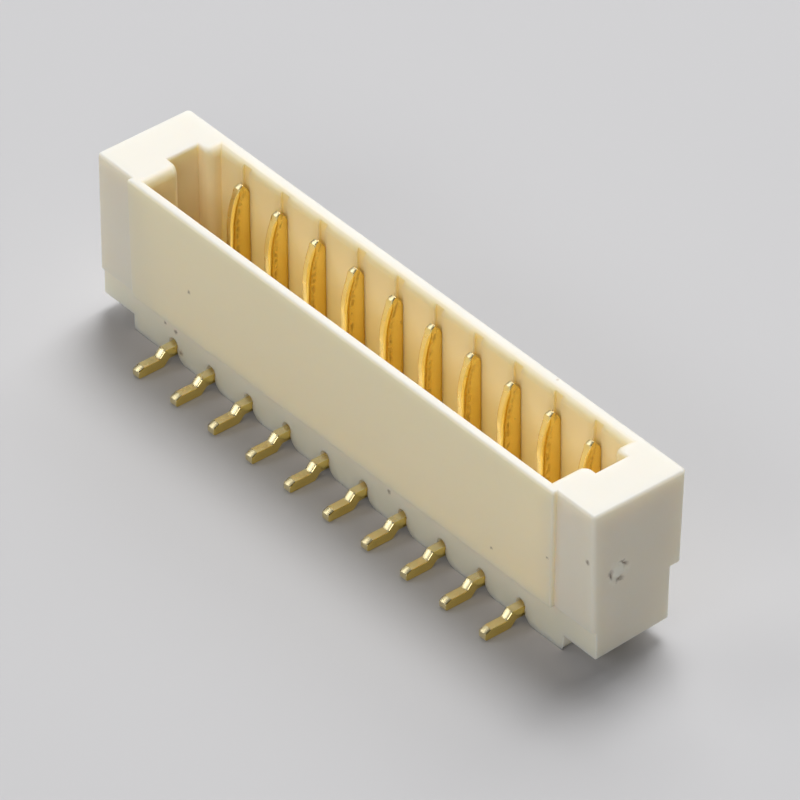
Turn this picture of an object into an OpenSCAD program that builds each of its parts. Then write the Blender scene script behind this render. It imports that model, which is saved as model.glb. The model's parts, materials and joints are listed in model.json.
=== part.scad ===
// Shrouded board header with one row of contacts.
// A moulded housing stands on the circuit board, and a row of stamped blade contacts
// rises in its open socket. Their tails leave under the front skirt and lie on the board.
// X runs along the row, -Y points to the tails, and Z = 0 is the top of the board.

/* [Contact row] */
// Number of contacts in the row
contact_count = 10; // [2:1:15]
// Spacing of the contacts along the row
pitch = 0.8; // [0.6:0.05:1.25]

/* [Housing] */
// From the middle of the last contact to the end face
end_run = 1.5; // [1.35:0.05:2.5]
// Depth of the end blocks, front to back
housing_d = 1.57; // [1.5:0.01:2]
// Height of the rim above the board
housing_h = 2.6; // [2.4:0.05:4]
// Height of the ledge under which the base is set in
ledge_z = 0.69; // [0.5:0.01:0.9]
// How far the base is set in at the front
base_inset_front = 0.055; // [0.02:0.005:0.12]
// How far the back face leans in between the rim and the step
back_draft = 0.07; // [0:0.01:0.1]
// Height of the step in the back of the end blocks
back_step_z = 1.14; // [0.9:0.02:1.6]
// Depth of the step in the back of the end blocks
back_step_in = 0.16; // [0.05:0.01:0.3]
// How far the end blocks' back leans in below the step
back_step_draft = 0.035; // [0:0.005:0.1]
// Gap between the board and the end blocks, at the front
end_lift = 0.25; // [0.1:0.01:0.4]
// How much that gap grows towards the back
end_lift_rise = 0.07; // [0:0.01:0.1]
// From the middle of the last contact to the end of the skirt
skirt_run = 0.85; // [0.5:0.05:1.1]

/* [Front wall] */
// Thickness of the front wall
wall_t = 0.155; // [0.12:0.005:0.25]
// How far the front wall stands proud of the end blocks
wall_proud = 0.07; // [0.02:0.01:0.1]
// From the middle of the last contact to the wall's end, at the rim
wall_run = 0.78; // [0.5:0.02:1]
// How much shorter each end of the wall is at the ledge
wall_draft = 0.05; // [0:0.01:0.1]

/* [Socket] */
// From the middle of the last contact to the end of the socket
socket_run = 0.53; // [0.4:0.01:0.7]
// Thickness of the back wall below its rounded rim
back_wall_t = 0.235; // [0.22:0.005:0.3]
// Thickness of the floor over the contacts' legs
floor_t = 0.54; // [0.2:0.02:0.8]
// Depth of the key slot in each end of the socket
key_in = 0.25; // [0.1:0.01:0.35]
// Width of the key slots
key_w = 0.5; // [0.4:0.02:0.6]
// How far the key slots lie behind the housing's middle
key_back = 0.11; // [-0.05:0.01:0.12]
// Radius of the upright corners beside the key slots
key_r = 0.12; // [0.04:0.01:0.15]
// Radius of the rim along the socket's ends and its back wall
lead_r = 0.14; // [0.08:0.01:0.18]
// Radius of the rim round the key slots
lead_key = 0.05; // [0.02:0.01:0.07]

/* [Contacts] */
// Thickness of the strip that the contacts are stamped from
strip_t = 0.14; // [0.1:0.01:0.2]
// Width of the blade, front to back
blade_w = 0.355; // [0.3:0.005:0.45]
// Depth of the groove that seats the blade in the back wall
seat_in = 0.045; // [0.02:0.005:0.07]
// Drop from the rim to the blade's tip
tip_drop = 0.225; // [0.1:0.005:0.5]
// Width of the facet on the tip, front to back
tip_w = 0.07; // [0.04:0.005:0.1]
// How far the tip's facet drops towards the front
tip_slope = 0.04; // [0.01:0.005:0.06]
// Length of the nose, from the facet's front to where the blade is full width
nose_l = 0.6; // [0.4:0.01:0.65]
// Radius of the nose's front edge
nose_r = 1.25; // [1:0.05:3]
// Height of the round shoulder behind the tip
shoulder_h = 0.3; // [0.2:0.02:0.6]
// Width of the coined bevel on the blade's front corners
coin_w = 0.025; // [0.01:0.005:0.04]
// How much each side of the tip is thinned
tip_thin = 0.025; // [0.01:0.005:0.04]
// Height of the thinned part of the tip
tip_thin_h = 0.07; // [0.04:0.01:0.12]

/* [Tails] */
// Height of the strip along the leg and the foot
tail_h = 0.16; // [0.12:0.01:0.24]
// Gap between the board and the leg
leg_z = 0.1; // [0.06:0.01:0.2]
// From the base's front to the bend where the tail slopes down
bend_out = 0.19; // [0.12:0.01:0.4]
// Run of the slope between the leg and the foot
slope_run = 0.095; // [0.06:0.005:0.2]
// From the base's front to the end of the foot
tail_out = 0.65; // [0.55:0.01:1]
// Radius of the bends and of the foot's lower corner
bend_r = 0.04; // [0.02:0.005:0.06]
// Length of the sloped facet at the foot's end
toe_run = 0.1; // [0.04:0.01:0.14]
// How far that facet drops
toe_drop = 0.045; // [0.02:0.005:0.06]
// Radius of the facet's two edges
toe_r = 0.02; // [0.01:0.005:0.04]

/* [Fits] */
// Gap on each side of a contact in its slot
side_gap = 0.01; // [0.005:0.005:0.03]
// How much wider than its slot the arch over each tail is, on each side
arch_gap = 0.01; // [0.005:0.005:0.05]
// Height of the arch above the leg
arch_rise = 0.08; // [0.05:0.01:0.1]
// How far the arch reaches into the skirt
arch_in = 0.2; // [0.1:0.02:0.4]
// Radius of the flare at the foot of each slot, and of the skirt's end corners
flare_r = 0.1; // [0.04:0.01:0.12]

/* [Gate mark] */
// Radius of the round recess left by the moulding gate
gate_r = 0.16; // [0.08:0.01:0.2]
// Depth of the recess
gate_in = 0.02; // [0.01:0.005:0.05]
// Height of the recess's middle above the board
gate_z = 1.53; // [1.4:0.02:1.8]
// How far the recess lies in front of the housing's middle
gate_front = 0.355; // [0:0.005:0.5]

/* [Hidden] */
$fn = 64;
// Overshoot of every cut past the face that it opens
over = 0.1;
// Points on each rounded corner of a stamped outline
round_steps = 6;

// The row
row_half = pitch * (contact_count - 1) / 2;
function contact_x(i) = pitch * (i - 1) - row_half;
function contact_name(i) = str("contact_", i < 10 ? "0" : "", i);

// Half lengths along X
housing_half = row_half + end_run;
skirt_half = row_half + skirt_run;
wall_half = row_half + wall_run;
socket_half = row_half + socket_run;
key_half = socket_half + key_in;

// Faces across Y
block_front = -housing_d / 2;
block_back = housing_d / 2;
base_front = block_front + base_inset_front;
low_back = block_back - back_draft;
wall_front = block_front - wall_proud;
socket_front = wall_front + wall_t;
socket_back = block_back - back_wall_t;
key_front_y = key_back - key_w / 2;
key_back_y = key_back + key_w / 2;

// Contact places
blade_back = socket_back + seat_in;
blade_front = blade_back - blade_w;
slot_w = strip_t + 2 * side_gap;
arch_r = slot_w / 2 + arch_gap;
leg_top = leg_z + tail_h;
shank_z = leg_z + tail_h / 2;
floor_z = leg_top + floor_t;
tip_z = housing_h - tip_drop;
nose_z = tip_z - tip_slope - nose_l;
tip_front = blade_front + nose_r - sqrt(nose_r * nose_r - nose_l * nose_l);
tip_back = tip_front + tip_w;
shoulder_z = tip_z - shoulder_h;
shoulder_w = blade_back - tip_back;
shoulder_r = (shoulder_w * shoulder_w + shoulder_h * shoulder_h) / (2 * shoulder_w);

// Extrudes a flat outline drawn in (y, z) along X, from x0 to x1
module along_x(x0, x1) {
    translate([x0, 0, 0]) rotate([90, 0, 90]) linear_extrude(x1 - x0) children();
}

// Extrudes a flat outline drawn in (x, z) along Y, from y0 to y1
module along_y(y0, y1) {
    translate([0, y1, 0]) rotate([90, 0, 0]) linear_extrude(y1 - y0) children();
}

// The outline of a list of [y, z, radius] corners, each rounded by its own radius
function rounded(corners) = [
    for (i = [0:len(corners) - 1])
        each round_corner(
            corners[(i + len(corners) - 1) % len(corners)],
            corners[i],
            corners[(i + 1) % len(corners)]
        )
];
function flat(c) = [c[0], c[1]];
function unit(v) = v / norm(v);
function round_corner(before, here, after) =
    here[2] == 0 ? [flat(here)] : arc_points(flat(here), unit(flat(before) - flat(here)),
                                             unit(flat(after) - flat(here)), here[2]);
// An arc of radius r that touches the two directions u and v out of a corner
function arc_points(corner, u, v, r) =
    let (
        half = acos(u * v) / 2,
        centre = corner + unit(u + v) * r / sin(half),
        from = corner + u * r / tan(half) - centre,
        turn = (u[0] * v[1] - u[1] * v[0] > 0 ? -1 : 1) * (180 - 2 * half)
    )
    [for (k = [0:round_steps]) centre + turned(from, turn * k / round_steps)];
function turned(p, a) = [p[0] * cos(a) - p[1] * sin(a), p[0] * sin(a) + p[1] * cos(a)];

// Section of the end blocks, with the base set in at the front and the step at the back
module end_section() {
    step_y = low_back - back_step_in;
    polygon([
        [base_front, end_lift],
        [base_front, ledge_z],
        [block_front, ledge_z],
        [block_front, housing_h],
        [block_back, housing_h],
        [low_back, back_step_z],
        [step_y, back_step_z],
        [step_y - back_step_draft, end_lift + end_lift_rise]
    ]);
}

// Section of the middle, whose skirt reaches down to the board
module middle_section() {
    polygon([
        [base_front, 0],
        [base_front, ledge_z],
        [block_front, ledge_z],
        [block_front, housing_h],
        [block_back, housing_h],
        [low_back, back_step_z],
        [low_back, 0]
    ]);
}

// The proud front wall, a little shorter at the ledge than at the rim
module front_wall() {
    along_y(wall_front, socket_front)
        polygon([
            [-wall_half, housing_h],
            [wall_half, housing_h],
            [wall_half - wall_draft, ledge_z],
            [-wall_half + wall_draft, ledge_z]
        ]);
}

// What the skirt lacks at one end, so that its bottom corner is round
module skirt_end_cut() {
    along_y(base_front - over, low_back + over)
        difference() {
            translate([skirt_half - flare_r, -over]) square(flare_r + over);
            translate([skirt_half - flare_r, flare_r]) circle(flare_r);
        }
}

// Plan of the socket, with a key slot in each end and round corners beside them
module socket_plan() {
    translate([-socket_half, socket_front]) square([2 * socket_half, socket_back - socket_front]);
    translate([-key_half, key_front_y]) square([2 * key_half, key_w]);
    for (end = [0, 1])
        mirror([end, 0]) {
            translate([socket_half, key_front_y]) mirror([0, 1]) corner_round();
            translate([socket_half, key_back_y]) corner_round();
        }
}

// The bit of plan that rounds an upright corner beside a key slot
module corner_round() {
    difference() {
        square(key_r);
        translate([key_r, key_r]) circle(key_r);
    }
}

// What rounding takes off the rim of a wall whose inner face lies at u
module rim_round(u, r) {
    translate([u, housing_h - r])
        difference() {
            square([r, r + over]);
            translate([r, 0]) circle(r);
        }
}

// Section of a mouth between walls at u0 and u1, whose rims are rounded by r0 and r1
module mouth(u0, u1, r0, r1) {
    low = housing_h - max(r0, r1);
    translate([u0, low]) square([u1 - u0, housing_h + over - low]);
    if (r0 > 0) mirror([1, 0]) rim_round(-u0, r0);
    if (r1 > 0) rim_round(u1, r1);
}

// A mouth with rounded rims: by r_end at each end, by r_front in front and by r_back behind
module lead_in(half_x, y0, y1, r_end, r_front, r_back) {
    intersection() {
        along_y(y0 - housing_d, y1 + housing_d) mouth(-half_x, half_x, r_end, r_end);
        along_x(-housing_half, housing_half) mouth(y0, y1, r_front, r_back);
    }
}

// The open socket that the plug enters from above
module socket() {
    translate([0, 0, floor_z]) linear_extrude(housing_h - floor_z + over) socket_plan();
    lead_in(socket_half, socket_front, socket_back, lead_r, 0, lead_r);
    lead_in(key_half, key_front_y, key_back_y, lead_key, lead_key, lead_key);
}

// The slot that takes one contact: up through the floor and the back wall, out under the skirt
module contact_slot() {
    translate([-slot_w / 2, blade_front - side_gap, leg_top - over])
        cube([slot_w, blade_w + side_gap, housing_h - leg_top + 2 * over]);
    along_y(base_front - over, blade_back) leg_slot_section();
    along_y(base_front - over, base_front + arch_in)
        translate([0, leg_top + arch_rise - arch_r]) circle(arch_r);
}

// Section of the slot along the leg, flared where it opens to the board
module leg_slot_section() {
    translate([-slot_w / 2, -over]) square([slot_w, leg_top + over]);
    difference() {
        translate([-slot_w / 2 - flare_r, -over]) square([slot_w + 2 * flare_r, flare_r + over]);
        for (side = [-1, 1])
            translate([side * (slot_w / 2 + flare_r), flare_r]) circle(flare_r);
    }
}

// The round recess of the moulding gate in the right end face
module gate_recess() {
    along_x(housing_half - gate_in, housing_half + over)
        translate([-gate_front, gate_z]) circle(gate_r);
}

module housing() {
    color("#e9dfc4")
        difference() {
            union() {
                along_x(-housing_half, housing_half) end_section();
                along_x(-skirt_half, skirt_half) middle_section();
                front_wall();
            }
            for (end = [0, 1])
                mirror([end, 0, 0]) skirt_end_cut();
            socket();
            for (i = [1:contact_count]) translate([contact_x(i), 0, 0]) contact_slot();
            gate_recess();
        }
}

// Plan of the blade, with its two front corners coined
module blade_plan() {
    half = strip_t / 2;
    polygon([
        [-half, blade_back],
        [-half, blade_front + coin_w],
        [-half + coin_w, blade_front],
        [half - coin_w, blade_front],
        [half, blade_front + coin_w],
        [half, blade_back]
    ]);
}

// A disc on edge with a coined rim, whose front arc is the front edge of the nose
module nose_disc() {
    half = strip_t / 2;
    translate([0, blade_front + nose_r, nose_z]) rotate([0, 90, 0])
        rotate_extrude($fn = 128)
            polygon([
                [0, -half],
                [nose_r - coin_w, -half],
                [nose_r, -half + coin_w],
                [nose_r, half - coin_w],
                [nose_r - coin_w, half],
                [0, half]
            ]);
}

// Side outline of the blade, with a facet on the tip and a round shoulder behind it
module blade_side() {
    facet_rise = tip_slope * (tip_front - blade_front) / tip_w;
    intersection() {
        polygon([
            [blade_front, shank_z],
            [blade_back, shank_z],
            [blade_back, tip_z],
            [tip_back, tip_z],
            [blade_front, tip_z - tip_slope - facet_rise]
        ]);
        union() {
            translate([blade_front, shank_z]) square([blade_w, shoulder_z - shank_z]);
            translate([blade_back - shoulder_r, shoulder_z]) circle(shoulder_r);
        }
    }
}

// Front outline of the blade, with the tip thinned on both sides
module blade_face() {
    half = strip_t / 2;
    polygon([
        [-half, shank_z],
        [half, shank_z],
        [half, tip_z - tip_thin_h],
        [half - tip_thin, tip_z],
        [-half + tip_thin, tip_z],
        [-half, tip_z - tip_thin_h]
    ]);
}

module blade() {
    half = strip_t / 2;
    intersection() {
        union() {
            translate([0, 0, shank_z]) linear_extrude(nose_z - shank_z) blade_plan();
            intersection() {
                nose_disc();
                translate([-half, blade_front, nose_z]) cube([strip_t, blade_w, nose_l]);
            }
        }
        along_x(-half, half) blade_side();
        along_y(blade_front, blade_back) blade_face();
    }
}

// Leg and tail, one strip of even height with a sloped step down to the foot
module tail() {
    bend_y = base_front - bend_out;
    foot_y = bend_y - slope_run;
    toe_y = base_front - tail_out;
    under = tail_h * tan(atan(leg_z / slope_run) / 2);
    along_x(-strip_t / 2, strip_t / 2)
        polygon(rounded([
            [blade_back, leg_z, bend_r],
            [bend_y + under, leg_z, bend_r],
            [foot_y + under, 0, bend_r],
            [toe_y, 0, bend_r],
            [toe_y, tail_h - toe_drop, toe_r],
            [toe_y + toe_run, tail_h, toe_r],
            [foot_y, tail_h, bend_r],
            [bend_y, leg_top, bend_r],
            [blade_back, leg_top, 0]
        ]));
}

module contact(i) {
    color("#c79a35")
        translate([contact_x(i), 0, 0]) {
            blade();
            tail();
        }
}

housing();
for (i = [1:contact_count]) contact(i);
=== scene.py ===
# %% [markdown]
# A shrouded board header, dressed for its portrait
#
# The object is a small connector that is soldered to a circuit board. An ivory plastic housing
# makes an open socket, and a row of gold-plated blades stands in it, each with a tail that
# reaches out to a solder pad. The housing is about ten millimetres long, so everything here is
# tiny: sizes are written in millimetres and turned into Blender's metres by one factor.
#
# The construction comes first, as a fixed frame of solids. This script adds what such solids lack:
# moulded edges, coined metal, and finishes with depth and flaws.

import json
import math

import bmesh
import bpy
from mathutils import Matrix, Vector, noise

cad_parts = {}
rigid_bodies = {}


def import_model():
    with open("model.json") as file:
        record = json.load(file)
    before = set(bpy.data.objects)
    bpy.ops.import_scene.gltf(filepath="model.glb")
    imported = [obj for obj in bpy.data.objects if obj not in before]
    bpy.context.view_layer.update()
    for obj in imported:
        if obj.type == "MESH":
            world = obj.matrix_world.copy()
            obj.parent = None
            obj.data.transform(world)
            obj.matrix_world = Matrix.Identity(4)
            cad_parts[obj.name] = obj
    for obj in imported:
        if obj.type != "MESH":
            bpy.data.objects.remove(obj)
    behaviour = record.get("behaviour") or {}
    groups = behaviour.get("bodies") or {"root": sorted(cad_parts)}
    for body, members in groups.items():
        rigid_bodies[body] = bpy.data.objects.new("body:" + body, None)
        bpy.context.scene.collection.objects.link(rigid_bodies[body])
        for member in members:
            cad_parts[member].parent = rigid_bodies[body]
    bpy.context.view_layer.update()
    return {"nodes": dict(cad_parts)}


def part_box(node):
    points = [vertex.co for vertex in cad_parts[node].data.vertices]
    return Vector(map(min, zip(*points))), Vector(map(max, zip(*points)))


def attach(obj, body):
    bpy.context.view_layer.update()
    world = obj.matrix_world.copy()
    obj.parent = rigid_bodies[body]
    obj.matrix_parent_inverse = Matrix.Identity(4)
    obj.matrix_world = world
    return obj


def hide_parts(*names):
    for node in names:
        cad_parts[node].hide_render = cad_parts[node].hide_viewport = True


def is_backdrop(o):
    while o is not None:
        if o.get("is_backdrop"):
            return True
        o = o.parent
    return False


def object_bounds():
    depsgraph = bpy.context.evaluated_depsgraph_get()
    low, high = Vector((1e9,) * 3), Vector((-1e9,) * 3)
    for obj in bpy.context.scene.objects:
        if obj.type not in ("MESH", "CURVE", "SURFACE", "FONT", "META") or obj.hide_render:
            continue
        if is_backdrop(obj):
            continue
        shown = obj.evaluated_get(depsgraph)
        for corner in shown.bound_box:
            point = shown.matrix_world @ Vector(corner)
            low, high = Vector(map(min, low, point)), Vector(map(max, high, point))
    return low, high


MM = 0.001
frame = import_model()
contact_nodes = sorted(name for name in frame["nodes"] if name.startswith("contact"))
print("contacts:", len(contact_nodes))

# %% [markdown]
# The camera
#
# The portrait was taken from far away with a long lens, so the parallel edges of the housing stay
# almost parallel. A short lens close by could frame the same view, but it would swell the near
# end. The camera therefore stands well back, and is placed by the angle it sees the part from.

# %% Camera
CAMERA_AZIMUTH = math.radians(50.83)
CAMERA_ELEVATION = math.radians(38.07)
CAMERA_ROLL = math.radians(-0.45)
CAMERA_DISTANCE = 126.45 * MM
CAMERA_LENS = 432.2
NEAREST_SEEN = 1 * MM
FARTHEST_SEEN = 5000 * MM
VIEW_MIDDLE = Vector((0, 0, 0.27 * MM))
AIM_RIGHT = 0.1725 * MM
AIM_UP = 0.637 * MM

back = Vector((
    math.sin(CAMERA_AZIMUTH) * math.cos(CAMERA_ELEVATION),
    -math.cos(CAMERA_AZIMUTH) * math.cos(CAMERA_ELEVATION),
    math.sin(CAMERA_ELEVATION),
))
level_right = Vector((math.cos(CAMERA_AZIMUTH), math.sin(CAMERA_AZIMUTH), 0))
level_up = back.cross(level_right)
right = math.cos(CAMERA_ROLL) * level_right + math.sin(CAMERA_ROLL) * level_up
up = math.cos(CAMERA_ROLL) * level_up - math.sin(CAMERA_ROLL) * level_right

camera_place = VIEW_MIDDLE + back * CAMERA_DISTANCE
aim = VIEW_MIDDLE + right * AIM_RIGHT + up * AIM_UP
view_back = (camera_place - aim).normalized()
view_right = up.cross(view_back).normalized()
view_up = view_back.cross(view_right)

camera_data = bpy.data.cameras.new("portrait_camera")
camera_data.lens = CAMERA_LENS
camera_data.clip_start = NEAREST_SEEN
camera_data.clip_end = FARTHEST_SEEN
camera = bpy.data.objects.new("portrait_camera", camera_data)
axes = Matrix((view_right, view_up, view_back)).transposed()
camera.matrix_world = Matrix.Translation(camera_place) @ axes.to_4x4()
bpy.context.scene.collection.objects.link(camera)
bpy.context.scene.camera = camera
print("camera at mm:", [round(x / MM, 1) for x in camera_place])

# %% [markdown]
# Floor and light
#
# A plain pale floor catches the soft shadow. The key light is a soft box behind the part and high
# above it, which makes the rim bright and leaves the near walls in gentle shade. A wider box stands
# lower behind the part and softens its shadow. A long box on the tails' side is just high enough to
# shine over the front wall onto the socket's back wall. Two small, weak cards are there for the
# metal: the blades' tips and the tails' sloped facets mirror them. All the lamps stand far away
# compared with the part, because a lamp close by would leave a bright patch on the floor. The world
# could light the part too, but it would fill every shadow alike, so it is very dim.

# %% Floor and world
FLOOR_HALF = 900 * MM
FLOOR_COLOUR = (0.55, 0.547, 0.558)
FLOOR_ROUGHNESS = 0.7
WORLD_COLOUR = (0.98, 0.99, 1.0)
WORLD_STRENGTH = 0.02


def new_material(name):
    """A material with an empty node tree, the tree, and its output node."""
    material = bpy.data.materials.new(name)
    material.use_nodes = True
    tree = material.node_tree
    tree.nodes.clear()
    return material, tree, tree.nodes.new("ShaderNodeOutputMaterial")


def put(tree, kind, values=None, **settings):
    """Adds a node, with its settings, and values for its inputs by name or number."""
    node = tree.nodes.new(kind)
    for setting, value in settings.items():
        setattr(node, setting, value)
    for name, value in (values or {}).items():
        node.inputs[name].default_value = value
    return node


floor_mesh = bpy.data.meshes.new("floor")
floor_corners = [(x * FLOOR_HALF, y * FLOOR_HALF, 0) for x, y in ((-1, -1), (1, -1), (1, 1), (-1, 1))]
floor_mesh.from_pydata(floor_corners, [], [(0, 1, 2, 3)])
floor = bpy.data.objects.new("floor", floor_mesh)
bpy.context.scene.collection.objects.link(floor)
floor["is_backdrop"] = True

floor_material, tree, output = new_material("pale_floor")
floor_finish = {"Base Color": (*FLOOR_COLOUR, 1), "Roughness": FLOOR_ROUGHNESS}
shader = put(tree, "ShaderNodeBsdfPrincipled", floor_finish)
tree.links.new(shader.outputs[0], output.inputs["Surface"])
floor_mesh.materials.append(floor_material)

world = bpy.data.worlds.new("studio")
world.use_nodes = True
background = world.node_tree.nodes["Background"]
background.inputs["Color"].default_value = (*WORLD_COLOUR, 1)
background.inputs["Strength"].default_value = WORLD_STRENGTH
bpy.context.scene.world = world
bpy.context.scene.view_settings.view_transform = "Standard"
print("floor side in mm:", round(2 * FLOOR_HALF / MM))

# %% Lamps
LAMP_DISTANCE = 300 * MM
# Each lamp's direction from the part, its width and height in mm, and its power in watts
LAMPS = {
    "key_soft_box": ((-0.19537, 0.33838, 0.92051), 130, 130, 0.665),
    "front_soft_box": ((0.45, -0.9, 0.68), 280, 100, 0.26),
    "bright_card": ((-0.61, -0.28, 0.74), 80, 80, 0.05),
    "tail_card": ((-0.61, -0.64, 0.464), 80, 80, 0.055),
    "back_soft_box": ((-0.45, 0.65, 0.6), 260, 160, 0.34),
}


def soft_box(name, direction, width, height, power):
    """A rectangular area lamp, far away in a direction, that looks at the part."""
    toward = Vector(direction)
    data = bpy.data.lights.new(name, "AREA")
    data.shape = "RECTANGLE"
    data.size = width * MM
    data.size_y = height * MM
    data.energy = power
    lamp = bpy.data.objects.new(name, data)
    lamp.location = toward.normalized() * LAMP_DISTANCE
    lamp.rotation_euler = toward.to_track_quat("Z", "Y").to_euler()
    bpy.context.scene.collection.objects.link(lamp)
    return lamp


for name, values in LAMPS.items():
    lamp = soft_box(name, *values)
    print(lamp.name, "at mm:", [round(x / MM) for x in lamp.location])

# %% [markdown]
# The housing
#
# The real housing is moulded in one shot, so none of its outward edges is truly sharp, and those
# radii are what catch the light. The frame's solid has the right walls, but its surface is made of
# long slivers, and slivers turn into dents when an edge across them is rounded. So the housing is
# made again from a few prisms with the frame's sizes. Its outer edges are rounded while the shape is
# still simple, then the socket is cut, and last the slots for the contacts.

# %% Sizes of the housing
# A hair's breadth, by which the ends stay inside the frame's box
HAIR = 0.0001
# From the middle of the last contact to the ends of the skirt, the front wall and the socket
SKIRT_RUN = 0.85
WALL_RUN = 0.78
SOCKET_RUN = 0.53
# Walls, and how far faces are set in or lean in
WALL_T = 0.155
WALL_DRAFT = 0.05
BACK_WALL_T = 0.235
BASE_INSET = 0.055
BACK_DRAFT = 0.07
BACK_STEP = 0.16
FOOT_DRAFT = 0.035
LIFT_RISE = 0.07
KEY_IN = 0.25
# Heights above the board
LEDGE_Z = 0.69
STEP_Z = 1.14
END_LIFT = 0.25
BACK_LIFT = END_LIFT + LIFT_RISE
SOCKET_FLOOR = 0.8

places = []
for node in contact_nodes:
    low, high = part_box(node)
    places.append(round((low.x + high.x) / 2 / MM, 4))
ROW_X = max(places)
housing_low, housing_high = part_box("housing")
END_X = housing_high.x / MM - HAIR
RIM_Z = housing_high.z / MM
SKIRT_X = ROW_X + SKIRT_RUN
WALL_X = ROW_X + WALL_RUN
WALL_LOW_X = WALL_X - WALL_DRAFT
SOCKET_X = ROW_X + SOCKET_RUN
KEY_X = SOCKET_X + KEY_IN
BLOCK_BACK = housing_high.y / MM
LOW_BACK = BLOCK_BACK - BACK_DRAFT
STEP_BACK = LOW_BACK - BACK_STEP
FOOT_BACK = STEP_BACK - FOOT_DRAFT
SOCKET_BACK = BLOCK_BACK - BACK_WALL_T
BLOCK_FRONT = -BLOCK_BACK
BASE_FRONT = BLOCK_FRONT + BASE_INSET
WALL_FRONT = housing_low.y / MM
SOCKET_FRONT = WALL_FRONT + WALL_T
KEY_FRONT = -0.14
KEY_BACK = 0.36
print("contacts stand at mm:", places)
print("end, rim and back in mm:", [round(x, 4) for x in (END_X, RIM_Z, BLOCK_BACK)])

# %% Prisms
# Which of along, first and second gives x, y and z, for a prism along each axis
PRISM_ORDER = {"X": (0, 1, 2), "Y": (1, 0, 2), "Z": (1, 2, 0)}


def skin(shape, rings):
    """Adds to a bmesh the walls between rings of points, from each ring to the next."""
    count = len(rings[0])
    for lower, upper in zip(rings, rings[1:]):
        for i in range(count):
            following = (i + 1) % count
            shape.faces.new((lower[i], lower[following], upper[following], upper[i]))


def prism(shape, outline, start, stop, axis):
    """Adds to a bmesh a prism along an axis. The outline holds the other two coordinates, in order."""
    rings = []
    for along in (start, stop):
        ring = []
        for first, second in outline:
            given = (along, first, second)
            place = Vector([given[k] for k in PRISM_ORDER[axis]])
            ring.append(shape.verts.new(place * MM))
        rings.append(ring)
    shape.faces.new(rings[0])
    shape.faces.new(rings[1])
    skin(shape, rings)


def from_bmesh(name, shape):
    """An object with the mesh of a bmesh, its faces turned outward. The bmesh is freed."""
    bmesh.ops.recalc_face_normals(shape, faces=shape.faces)
    mesh = bpy.data.meshes.new(name)
    shape.to_mesh(mesh)
    shape.free()
    made = bpy.data.objects.new(name, mesh)
    bpy.context.scene.collection.objects.link(made)
    return made


def solid(name, *prisms):
    """An object made of prisms, each given as outline, start, stop and axis."""
    shape = bmesh.new()
    for values in prisms:
        prism(shape, *values)
    return from_bmesh(name, shape)


end_section = [
    (BASE_FRONT, END_LIFT), (BASE_FRONT, LEDGE_Z), (BLOCK_FRONT, LEDGE_Z), (BLOCK_FRONT, RIM_Z),
    (BLOCK_BACK, RIM_Z), (LOW_BACK, STEP_Z), (STEP_BACK, STEP_Z), (FOOT_BACK, BACK_LIFT),
]
housing = solid("ivory_housing", (end_section, -END_X, END_X, "X"))
print("faces of the prism from end to end:", len(housing.data.polygons))

# %% Join the body
FLAT_ANGLE = math.radians(0.05)
SAME_PLACE = 1e-4 * MM


def settle(body):
    """Turns what an object's modifiers make of it into its own mesh."""
    view = bpy.context.evaluated_depsgraph_get()
    body.data = bpy.data.meshes.new_from_object(body.evaluated_get(view))
    body.modifiers.clear()


def combine(body, tool, operation):
    """Joins a tool to a body, or cuts it away, and removes the tool."""
    step = body.modifiers.new(operation.lower(), "BOOLEAN")
    step.operation = operation
    step.object = tool
    settle(body)
    bpy.data.objects.remove(tool)


middle_section = [
    (BASE_FRONT, 0), (BASE_FRONT, LEDGE_Z), (BLOCK_FRONT, LEDGE_Z), (BLOCK_FRONT, RIM_Z),
    (BLOCK_BACK, RIM_Z), (LOW_BACK, STEP_Z), (LOW_BACK, 0),
]
wall_outline = [(-WALL_LOW_X, LEDGE_Z), (WALL_LOW_X, LEDGE_Z), (WALL_X, RIM_Z), (-WALL_X, RIM_Z)]
combine(housing, solid("middle", (middle_section, -SKIRT_X, SKIRT_X, "X")), "UNION")
combine(housing, solid("wall", (wall_outline, WALL_FRONT, SOCKET_FRONT, "Y")), "UNION")
shape = bmesh.new()
shape.from_mesh(housing.data)
bmesh.ops.remove_doubles(shape, verts=shape.verts, dist=SAME_PLACE)
bmesh.ops.dissolve_limit(shape, angle_limit=FLAT_ANGLE, verts=shape.verts, edges=shape.edges)
print("faces of the plain body:", len(shape.faces))

# %% [markdown]
# The outer edges
#
# Blender's Bevel modifier rounds each edge by a share of one width, and the share is stored on the
# edge. So the radius of each edge can follow from where it lies: largest on the ends, which are
# handled most, and fine on the ledges. Only outward corners are rounded: an inward corner of the part
# is an outward edge of the steel mould, and such edges are ground sharp.

# %% Round the outer edges
SKIRT_END_R = 0.1
BACK_R = 0.09
UPRIGHT_R = 0.06
RIM_R = 0.045
FOOT_R = 0.03
LEDGE_R = 0.02
FINE_R = 0.012
WIDEST_R = SKIRT_END_R
EDGE_STEPS = 5
# Within this distance, two places count as the same
NEAR = 0.01
NEARLY_UPRIGHT = 0.9
CORNER_ANGLE = math.radians(32)


def edge_radius(edge):
    """The radius of an outward edge in millimetres, from where it lies on the housing."""
    first, second = (point.co / MM for point in edge.verts)
    middle = (first + second) / 2
    upright = abs((second - first).normalized().z) > NEARLY_UPRIGHT
    x = abs(middle.x)
    if middle.z > RIM_Z - NEAR:
        return RIM_R
    if upright and x > END_X - NEAR and middle.z > LEDGE_Z:
        return BACK_R if middle.y > 0 else UPRIGHT_R
    if middle.z < NEAR and abs(x - SKIRT_X) < NEAR:
        return SKIRT_END_R
    if abs(middle.z - LEDGE_Z) < NEAR:
        return LEDGE_R
    if x > END_X - NEAR or middle.y < BLOCK_FRONT - NEAR:
        return FOOT_R
    return FINE_R


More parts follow.
